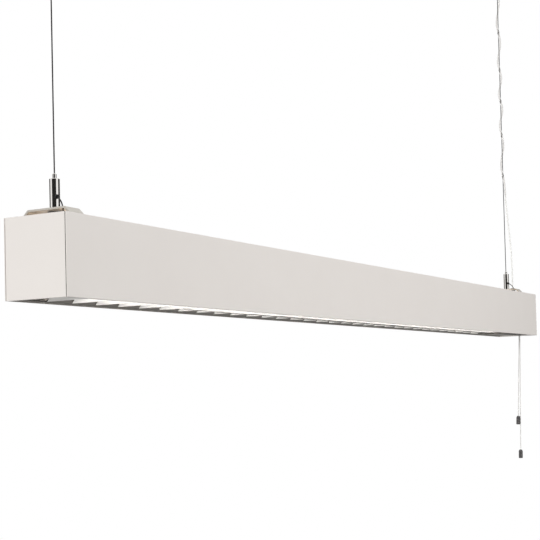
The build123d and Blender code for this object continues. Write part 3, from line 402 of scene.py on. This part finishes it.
FINISHES = {
    # Polyester powder coat on extruded aluminium: even, matt, with a very fine orange peel.
    # Inside the louvre's channel the walls get painted shade: dark grey, paler below the louvre
    "white_powder_coat": finish("white_powder_coat", "#f5f0eb", "#f1ebe6", 70, (0.5, 0.62), 0.9, 0.012),
    # The same coat on the end caps, whose front edges in the shadow gap are dark grey: painted shade
    "white_cap_coat": finish("white_cap_coat", "#f5f0eb", "#f1ebe6", 70, (0.5, 0.62), 0.9, 0.012),
    # Stove paint on pressed steel: white, with a soft gloss
    "white_stove_paint": finish("white_stove_paint", "#efede9", "#e8e5e0", 40, (0.32, 0.42), 1.8, 0.01),
    # The same paint in dark grey on the strip at the left end: painted shade for the shadow it lies in
    "painted_shade_stove_paint": finish("painted_shade_stove_paint", "#615c57", "#57524d", 40, (0.34, 0.46), 1.8, 0.01),
    # Dull paint on the switch plate: dark at the front as painted shade, pale at the back as painted light
    "painted_shade_and_light_paint": finish(
        "painted_shade_and_light_paint", "#4c4844", "#45413d", 40, (0.62, 0.74), 1.8, 0.01, Specular_IOR_Level=0.12,
    ),
    # White paint on the tie strip, with painted shade that darkens it in patches towards the right
    "painted_shade_tie_paint": finish("painted_shade_tie_paint", "#f3f2ef", "#edebe7", 12, (0.45, 0.6), 0.8, 0.006),
    # Steel sheet, zinc plated and passivated: a pale warm grey that drifts to cream
    "warm_passivated_zinc": finish(
        "warm_passivated_zinc", "#d6d2cb", "#c9c3b9", 7, (0.36, 0.5), 0.7, 0.006, Metallic=0.35,
    ),
    # Turned brass, polished and chrome plated: a mirror with the faintest turning haze
    "polished_chrome": finish(
        "polished_chrome", "#eeebe7", "#e6e3df", 12, (0.05, 0.09), 0.6, 0.0008, Metallic=1.0,
    ),
    # Zinc-plated steel: bluish, with a small spangle
    "bright_zinc": finish("bright_zinc", "#c6cacf", "#adb2b8", 2.5, (0.24, 0.4), 0.5, 0.004, Metallic=1.0),
    # Drawn steel wire, plain: its strands are dark grey and softly shiny
    "drawn_steel_wire": finish(
        "drawn_steel_wire", "#3b3938", "#282625", 3, (0.34, 0.48), 0.3, 0.002, Metallic=0.6,
    ),
    # The same wire near black, with almost no shine: painted shade on the tails and in the screws' recesses
    "painted_shade_black_wire": finish("painted_shade_black_wire", "#211f1f", "#141313", 2, (0.45, 0.6), 0.3, 0.003),
    # Moulded polyamide, black or grey: matt, with a fine spark-eroded grain
    "black_polyamide": finish("black_polyamide", "#1d1d1e", "#151515", 6, (0.42, 0.58), 0.35, 0.006),
    "grey_polyamide": finish("grey_polyamide", "#8b8884", "#807d79", 6, (0.42, 0.58), 0.35, 0.006),
    # Moulded white polycarbonate: smooth, a little warm
    "white_polycarbonate": finish("white_polycarbonate", "#f0eee9", "#e8e5df", 9, (0.26, 0.36), 0.6, 0.003),
    # Folded blades, painted matt white; at the right end they are dark grey as painted shade
    "white_blade_paint": finish("white_blade_paint", "#f3f2ef", "#edebe7", 12, (0.48, 0.6), 0.8, 0.006),
    # Rolled bright aluminium with satin lines along the louvre, dark grey as a painted reflection of dark
    # surroundings
    "painted_reflection_aluminium": finish(
        "painted_reflection_aluminium", "#76726d", "#65615c", 8, (0.3, 0.44), 0.35, 0.002,
        stretch=(0.04, 1, 1), Metallic=1.0,
    ),
    # Hardened strip steel, as rolled
    "spring_steel": finish("spring_steel", "#b4b6b8", "#94979a", 4, (0.25, 0.38), 0.4, 0.002, Metallic=1.0),
    # Pressed aluminium of the lamps' caps
    "pressed_aluminium": finish(
        "pressed_aluminium", "#d3d5d7", "#bfc1c4", 5, (0.3, 0.45), 0.5, 0.004, Metallic=1.0,
    ),
    # Turned brass of the lamps' pins and the mains block's screws
    "turned_brass": finish("turned_brass", "#d2b46c", "#b89952", 3, (0.2, 0.32), 0.3, 0.002, Metallic=1.0),
    # Braided polyester yarn: dull, with light and darker filaments
    "polyester_yarn": finish("polyester_yarn", "#f7f6f4", "#eceae6", 0.6, (0.7, 0.85), 0.15, 0.02),
    # Moulded dark grey plastic of the pull grips: satin
    "grey_grip_plastic": finish("grey_grip_plastic", "#5b5959", "#4d4b4b", 5, (0.32, 0.44), 0.4, 0.005),
    # Milky insulation of the cores in the clear cable: it lets most of the light through
    "milky_core_insulation": finish(
        "milky_core_insulation", "#f6f5f3", "#eeedea", 6, (0.3, 0.4), 0.4, 0.003,
        Transmission_Weight=0.85, IOR=1.1,
    ),
    # Extruded clear PVC, soft and thin, a little smoky where it is wound: it bends the view behind it
    # only a little, with faint draw lines
    "clear_pvc": finish(
        "clear_pvc", "#f2f1f0", "#eae8e7", 20, (0.06, 0.12), 0.8, 0.002, Transmission_Weight=1.0, IOR=1.15,
    ),
    # Glass tubes coated inside with phosphor: the lower lamp is a bright neutral white, the upper one a
    # dim warm white
    "neutral_phosphor": finish(
        "neutral_phosphor", "#fbf9f4", "#f6f3ec", 30, (0.16, 0.22), 2.0, 0.001,
        Emission_Color=linear("#fffdfb"), Emission_Strength=11.0,
    ),
    "warm_phosphor": finish(
        "warm_phosphor", "#fbf6ea", "#f6f0e2", 30, (0.16, 0.22), 2.0, 0.001,
        Emission_Color=linear("#ffd9ac"), Emission_Strength=1.3,
    ),
}

# Painted shade on the tie strip
TIE_SHADE_COLOUR = "#2c2a28"
# Parts of a surface with another colour: the finish, the colour there, and the limits that hold there.
# A limit is an axis, which side of the limit, and its place in millimetres
INSIDE_WALLS = (("Y", "LESS_THAN", SHADE_EDGE_Y), ("Y", "GREATER_THAN", -SHADE_EDGE_Y))
# All but the last are painted shade or painted light; the clear sheath's is its own tone
SHADE_AND_TONE_PARTS = (
    # Painted shade on the end caps' front edges, in the shadow gap
    ("white_cap_coat", "#7a7672", (("Y", "LESS_THAN", -CAP_EDGE_Y),)),
    # Painted shade on the walls inside the louvre's channel, paler below the louvre
    ("white_powder_coat", "#6e6a66", (*INSIDE_WALLS, ("Z", "LESS_THAN", CHANNEL_TOP))),
    ("white_powder_coat", "#b9b4ae", (*INSIDE_WALLS, ("Z", "LESS_THAN", LOUVRE_LOW))),
    # Painted shade at the louvre's right end
    ("white_blade_paint", "#57534f", (("X", "GREATER_THAN", RIGHT_PLATE_X),)),
    # Painted light on the back of the switch plate
    ("painted_shade_and_light_paint", "#c9c6c1", (("Y", "GREATER_THAN", PALE_PLATE_Y),)),
    ("clear_pvc", "#fefefd", (("Z", "LESS_THAN", WINDING_LOW),)),
)


def colour_where(material, colour_there, limits):
    """Another colour where every limit holds."""
    tree = material.node_tree
    base = tree.nodes["Principled BSDF"].inputs["Base Color"]
    place = add(tree, "ShaderNodeTexCoord", {}).outputs["Object"]
    axes = add(tree, "ShaderNodeSeparateXYZ", {"Vector": place}).outputs
    held = 1.0
    for axis, side, limit in limits:
        test = add(tree, "ShaderNodeMath", {0: axes[axis], 1: limit * MM}, operation=side).outputs[0]
        held = add(tree, "ShaderNodeMath", {0: held, 1: test}, operation="MULTIPLY").outputs[0]
    mixed = add(tree, "ShaderNodeMix", {
        MIX_SHARE: held, MIX_FIRST: base.links[0].from_socket, MIX_SECOND: linear(colour_there),
    }, data_type="RGBA")
    tree.links.new(mixed.outputs[MIX_RESULT], base)


def paint_tie_shade(material):
    """Painted shade along the strip, darker towards the right, in patches."""
    tree = material.node_tree
    base = tree.nodes["Principled BSDF"].inputs["Base Color"]
    place = add(tree, "ShaderNodeTexCoord", {}).outputs["Object"]
    along = add(tree, "ShaderNodeSeparateXYZ", {"Vector": place}).outputs["X"]
    shading = add(tree, "ShaderNodeMapRange", {
        "Value": along, "From Min": TIE_SHADE_RUN[0] * MM, "From Max": TIE_SHADE_RUN[1] * MM,
    }).outputs["Result"]
    patches = add(tree, "ShaderNodeTexNoise", {
        "Vector": place, "Scale": 1 / (TIE_SHADE_PATCH * MM), "Detail": PATCH_DETAIL,
    }).outputs["Fac"]
    share = add(
        tree, "ShaderNodeMath", {0: shading, 1: patches, 2: shading}, operation="MULTIPLY_ADD", use_clamp=True,
    )
    mixed = add(tree, "ShaderNodeMix", {
        MIX_SHARE: share.outputs[0], MIX_FIRST: base.links[0].from_socket, MIX_SECOND: linear(TIE_SHADE_COLOUR),
    }, data_type="RGBA")
    tree.links.new(mixed.outputs[MIX_RESULT], base)


def dim_lamp_ends(material):
    """Less glow towards a tube's ends, where its cathodes are."""
    tree = material.node_tree
    glow = tree.nodes["Principled BSDF"].inputs["Emission Strength"]
    place = add(tree, "ShaderNodeTexCoord", {}).outputs["Object"]
    along = add(tree, "ShaderNodeSeparateXYZ", {"Vector": place}).outputs["X"]
    off = add(tree, "ShaderNodeMath", {0: along, 1: LAMP_MIDDLE * MM}, operation="SUBTRACT").outputs[0]
    away = add(tree, "ShaderNodeMath", {0: off}, operation="ABSOLUTE").outputs[0]
    dimmed = add(tree, "ShaderNodeMapRange", {
        "Value": away, "From Min": (LAMP_HALF - LAMP_DIM_RUN) * MM, "From Max": LAMP_HALF * MM,
        "To Min": glow.default_value, "To Max": LAMP_END_GLOW * glow.default_value,
    })
    tree.links.new(dimmed.outputs["Result"], glow)


for finish_name, part_colour, part_limits in SHADE_AND_TONE_PARTS:
    colour_where(FINISHES[finish_name], part_colour, part_limits)
paint_tie_shade(FINISHES["painted_shade_tie_paint"])
for finish_name in ("neutral_phosphor", "warm_phosphor"):
    dim_lamp_ends(FINISHES[finish_name])

CAD_FINISHES = {
    "white_powder_coat": ("housing_profile",),
    "white_cap_coat": ("left_end_cap", "right_end_cap"),
    "white_stove_paint": ("canopy_cover", "ballast"),
    "painted_shade_stove_paint": ("left_end_strip",),
    "painted_shade_and_light_paint": ("switch_plate",),
    "warm_passivated_zinc": ("left_bracket", "right_bracket"),
    "polished_chrome": (
        "left_gripper_body", "right_gripper_body", "left_gripper_plunger", "right_gripper_plunger",
        "left_ceiling_cup",
    ),
    "bright_zinc": (
        "gripper_nuts", "ballast_screws", "canopy_screws", "canopy_base", "left_ceiling_base",
        "left_wire_end", "right_wire_end",
    ),
    "black_polyamide": ("left_exit_bush", "right_exit_bush", "cable_grommet"),
    "grey_polyamide": ("short_pull_bush", "long_pull_bush"),
    "white_polycarbonate": (
        "lower_lampholders", "upper_lampholders", "lower_lamp_rotors", "upper_lamp_rotors",
        "mains_terminal_block", "canopy_terminal_block", "cable_strain_relief", "pull_switch_body",
    ),
    "white_blade_paint": ("louvre_blades", "louvre_end_plates"),
    "painted_reflection_aluminium": ("louvre_front_reflector", "louvre_back_reflector"),
    "spring_steel": ("louvre_clips",),
    "neutral_phosphor": ("lower_lamp_tube",),
    "warm_phosphor": ("upper_lamp_tube",),
    "pressed_aluminium": ("lower_lamp_caps", "upper_lamp_caps"),
    "turned_brass": ("lower_lamp_pins", "upper_lamp_pins"),
    "grey_grip_plastic": ("short_pull_grip", "long_pull_grip"),
}


def paint_cad_nodes():
    for name, members in CAD_FINISHES.items():
        for member in members:
            for place in nodes[member].material_slots:
                place.material = FINISHES[name]


def hang_wires():
    """Wires from the ceiling to the grippers, and their tails, each with a ferrule at its end."""
    steel, black = FINISHES["drawn_steel_wire"], FINISHES["painted_shade_black_wire"]
    step = WIRE_LAY / SEGMENTS_PER_LAY
    middle = (WIRE_LOW + WIRE_HIGH) / 2
    for side, x in (("left", -WIRE_X), ("right", WIRE_X)):
        line, at = evenly(route_line([(x, 0, WIRE_LOW), (x, 0, middle), (x, 0, WIRE_HIGH)]), step)
        rope = wire_rope(f"{side}_wire_rope", line, at, steel)
        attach(rope, "suspension")
        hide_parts(f"{side}_wire")
        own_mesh(rope)
        line, at = evenly(route_line(tail_route(x)), step)
        tail = wire_rope(f"{side}_tail_rope", line, at, black)
        sleeve = ferrule(f"{side}_tail_ferrule", line, FINISHES["bright_zinc"])
        for piece, slot in ((tail, "black_wire"), (sleeve, "zinc_steel")):
            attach(piece, "luminaire")
            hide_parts(f"{side}_wire_tail")


def hang_cable():
    """Power cable in two pieces: the top stays in place, the rest goes with the suspension."""
    cable_finishes = [FINISHES["clear_pvc"], FINISHES["milky_core_insulation"]]
    line, at = evenly(route_line(cable_route()), CABLE_STEP)
    split = int(np.argmax(line[:, 2] < CABLE_SPLIT * MM))
    top = clear_cable("power_cable_top", line[: split + 1], at[: split + 1], cable_finishes)
    wound = clear_cable("power_cable_wound", line[split:], at[split:], cable_finishes)
    for piece in (top, wound):
        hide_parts("power_cable")
    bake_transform(top)
    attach(wound, "suspension")
    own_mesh(wound)


def hang_pulls():
    for which, (x, drop, lean, length) in PULLS.items():
        line, at = evenly(route_line(pull_route(x, drop, lean)), BRAID_LAY / SEGMENTS_PER_BRAID)
        cord = braided_cord(f"{which}_pull_braid", line, at, FINISHES["polyester_yarn"])
        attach(cord, f"{which}_pull")
        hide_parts(f"{which}_pull_cord")


def start_piece(name, primitive, **settings):
    """A new primitive, alone in the selection, with its place, turn and scale in its mesh."""
    bpy.ops.object.select_all(action="DESELECT")
    primitive(**settings)
    piece = bpy.context.object
    piece.name = piece.data.name = name
    bpy.ops.object.transform_apply(location=True, rotation=True, scale=True)
    return piece


def pick_faces(piece, wanted):
    """Edit mode, with only the faces selected whose normal is wanted."""
    bpy.ops.object.mode_set(mode="EDIT")
    bpy.ops.mesh.select_mode(type="FACE")
    bpy.ops.mesh.select_all(action="DESELECT")
    bpy.ops.object.mode_set(mode="OBJECT")
    for face in piece.data.polygons:
        face.select = wanted(face.normal)
    bpy.ops.object.mode_set(mode="EDIT")


def settle(piece, body, name):
    """A piece with its finish, on its body."""
    bpy.ops.object.mode_set(mode="OBJECT")
    piece.data.materials.clear()
    piece.data.materials.append(FINISHES[name])
    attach(piece, body)


def copy_piece(piece, name, turn):
    copy = piece.copy()
    copy.data = piece.data.copy()
    copy.name = copy.data.name = name
    copy.data.transform(turn)
    bpy.context.scene.collection.objects.link(copy)
    return copy


def lay_tie_strip():
    """Thin strip along the middle of the blades' feet, with bevelled edges."""
    left, right = TIE_ENDS
    strip = start_piece(
        "louvre_tie_strip", bpy.ops.mesh.primitive_cube_add, size=1,
        location=((left + right) / 2 * MM, 0, (TIE_LOW + TIE_TOP) / 2 * MM),
        scale=((right - left) * MM, TIE_W * MM, (TIE_TOP - TIE_LOW) * MM),
    )
    bpy.ops.object.mode_set(mode="EDIT")
    bpy.ops.mesh.select_all(action="SELECT")
    bpy.ops.mesh.bevel(offset=TIE_BEVEL * MM, segments=2)
    settle(strip, "louvre", "painted_shade_tie_paint")


def drive_mains_screws():
    """Slotted brass screws at the bottom of the mains block's wells."""
    left, right = MAINS_SCREWS_X
    middle = MAINS_WELL_LOW + MAINS_SCREW_H / 2
    first = start_piece(
        "mains_screw_1", bpy.ops.mesh.primitive_cylinder_add, vertices=MAINS_SCREW_SIDES,
        radius=MAINS_SCREW_D / 2 * MM, depth=MAINS_SCREW_H * MM,
        location=(left * MM, MAINS_SCREW_Y * MM, middle * MM),
    )
    pick_faces(first, lambda normal: normal.z > LOOKS_UP)
    bpy.ops.mesh.bevel(offset=MAINS_SCREW_BEVEL * MM, segments=3)
    bpy.ops.object.mode_set(mode="OBJECT")
    slot = start_piece(
        "slot_cutter", bpy.ops.mesh.primitive_cube_add, size=1,
        rotation=(0, 0, math.radians(MAINS_SLOT_DEG)),
        location=(left * MM, MAINS_SCREW_Y * MM, (MAINS_WELL_LOW + MAINS_SCREW_H) * MM),
        scale=(2 * MAINS_SCREW_D * MM, MAINS_SLOT_W * MM, MAINS_SLOT_H * MM),
    )
    bpy.ops.object.select_all(action="DESELECT")
    first.select_set(True)
    bpy.context.view_layer.objects.active = first
    cut = first.modifiers.new("slot", "BOOLEAN")
    cut.operation = "DIFFERENCE"
    cut.object = slot
    bpy.ops.object.modifier_apply(modifier="slot")
    bpy.data.objects.remove(slot)
    second = copy_piece(first, "mains_screw_2", Matrix.Translation(((right - left) * MM, 0, 0)))
    for screw in (first, second):
        settle(screw, "luminaire", "turned_brass")


def paint_recess_shade():
    """Thin dark crosses on the heads of the ballast's and the canopy's screws: painted shade for their
    recesses.
    """
    cross = start_piece(
        "recess_shade_cross", bpy.ops.mesh.primitive_cube_add, size=1, location=(0, 0, CROSS_DEPTH / 2 * MM),
        scale=(CROSS_W * MM, CROSS_W * MM, CROSS_DEPTH * MM),
    )
    pick_faces(cross, lambda normal: abs(normal.z) < LOOKS_SIDEWAYS)
    bpy.ops.mesh.extrude_faces_indiv()
    bpy.ops.transform.shrink_fatten(value=CROSS_ARM * MM)
    bpy.ops.mesh.select_all(action="SELECT")
    bpy.ops.mesh.normals_make_consistent(inside=False)
    bpy.ops.object.mode_set(mode="OBJECT")
    turns = {}
    for n, place in enumerate(BALLAST_SCREWS):
        turns[f"ballast_recess_{n + 1}"] = ("luminaire", Matrix.Translation([c * MM for c in place]))
    x, y, z = CANOPY_SCREW_FACE
    for n, side in enumerate((-1, 1)):
        place = Matrix.Translation((x * MM, side * y * MM, z * MM))
        turns[f"canopy_recess_{n + 1}"] = ("ceiling", place @ Matrix.Rotation(-side * math.pi / 2, 4, "X"))
    for name, (body, turn) in turns.items():
        settle(copy_piece(cross, name, turn), body, "painted_shade_black_wire")
    bpy.data.objects.remove(cross)


def seen_directly(tree):
    """1 for a ray that shows a surface to the camera, also by way of metal or glass, and 0 for light."""
    path = add(tree, "ShaderNodeLightPath", {}).outputs
    seen = path["Is Camera Ray"]
    for way in ("Is Glossy Ray", "Is Transmission Ray"):
        seen = add(tree, "ShaderNodeMath", {0: seen, 1: path[way]}, operation="MAXIMUM").outputs[0]
    return seen


def staged_plane(name, size, place, turn, material):
    bpy.ops.object.select_all(action="DESELECT")
    bpy.ops.mesh.primitive_plane_add(size=1, location=place, rotation=turn)
    plane = bpy.context.object
    plane.name = name
    plane.scale = (*size, 1)
    plane.data.materials.append(material)
    return plane


def light_world():
    """White background. The even light that it gives is weaker than its look."""
    world = bpy.data.worlds.new("studio")
    bpy.context.scene.world = world
    world.use_nodes = True
    tree = world.node_tree
    tree.nodes.clear()
    white = linear("#ffffff")
    ambient = add(tree, "ShaderNodeBackground", {"Color": white, "Strength": AMBIENT}).outputs[0]
    backdrop = add(tree, "ShaderNodeBackground", {"Color": white, "Strength": 1.0}).outputs[0]
    mixed = add(tree, "ShaderNodeMixShader", {0: seen_directly(tree), 1: ambient, 2: backdrop})
    add(tree, "ShaderNodeOutputWorld", {"Surface": mixed.outputs[0]})


def place_studio_lamps():
    """Soft area lamps, aimed at the housing, that don't show in gloss."""
    for name, (place, size, power) in STUDIO_LAMPS.items():
        data = bpy.data.lights.new(name, "AREA")
        data.size = size
        data.energy = power
        lamp = bpy.data.objects.new(name, data)
        lamp.visible_glossy = False
        bpy.context.scene.collection.objects.link(lamp)
        aim = Vector(LAMP_AIM) - Vector(place)
        turn = aim.to_track_quat("-Z", "Y").to_matrix().to_4x4()
        lamp.matrix_world = Matrix.Translation(place) @ turn


def lay_floor():
    """Floor of pale paper far below. It throws back less light than so pale a sheet would."""
    paper = finish("floor_paper", "#8f8e8c", "#8b8a88", 200, (0.7, 0.8), 3, 0.02)
    tree = paper.node_tree
    sheet = tree.nodes["Principled BSDF"].inputs
    shown = add(tree, "ShaderNodeMix", {
        MIX_SHARE: seen_directly(tree), MIX_FIRST: sheet["Base Color"].links[0].from_socket,
        MIX_SECOND: linear("#f3f2f0"),
    }, data_type="RGBA")
    tree.links.new(shown.outputs[MIX_RESULT], sheet["Base Color"])
    glow = add(tree, "ShaderNodeMath", {0: seen_directly(tree), 1: FLOOR_GLOW}, operation="MULTIPLY")
    sheet["Emission Color"].default_value = linear("#ffffff")
    tree.links.new(glow.outputs[0], sheet["Emission Strength"])
    staged_plane("studio_floor", (FLOOR_SIZE, FLOOR_SIZE), (0, 0, FLOOR_HEIGHT), (0, 0, 0), paper)


def stand_cards():
    """Upright cards of dark felt, for the chrome to show."""
    felt = finish("card_felt", "#2b2927", "#262422", 100, (0.8, 0.9), 2, 0.02)
    for name, (place, bearing, width) in CARDS.items():
        turn = (math.pi / 2, 0, math.radians(bearing) + math.pi / 2)
        card = staged_plane(name, (width, CARD_HEIGHT), (*place, CARD_MIDDLE), turn, felt)
        card.visible_camera = card.visible_diffuse = card.visible_transmission = card.visible_shadow = False


set_camera()
hang_wires()
hang_cable()
hang_pulls()
paint_cad_nodes()
lay_tie_strip()
drive_mains_screws()
paint_recess_shade()
light_world()
place_studio_lamps()
lay_floor()
stand_cards()
bpy.context.scene.view_settings.view_transform = "Standard"
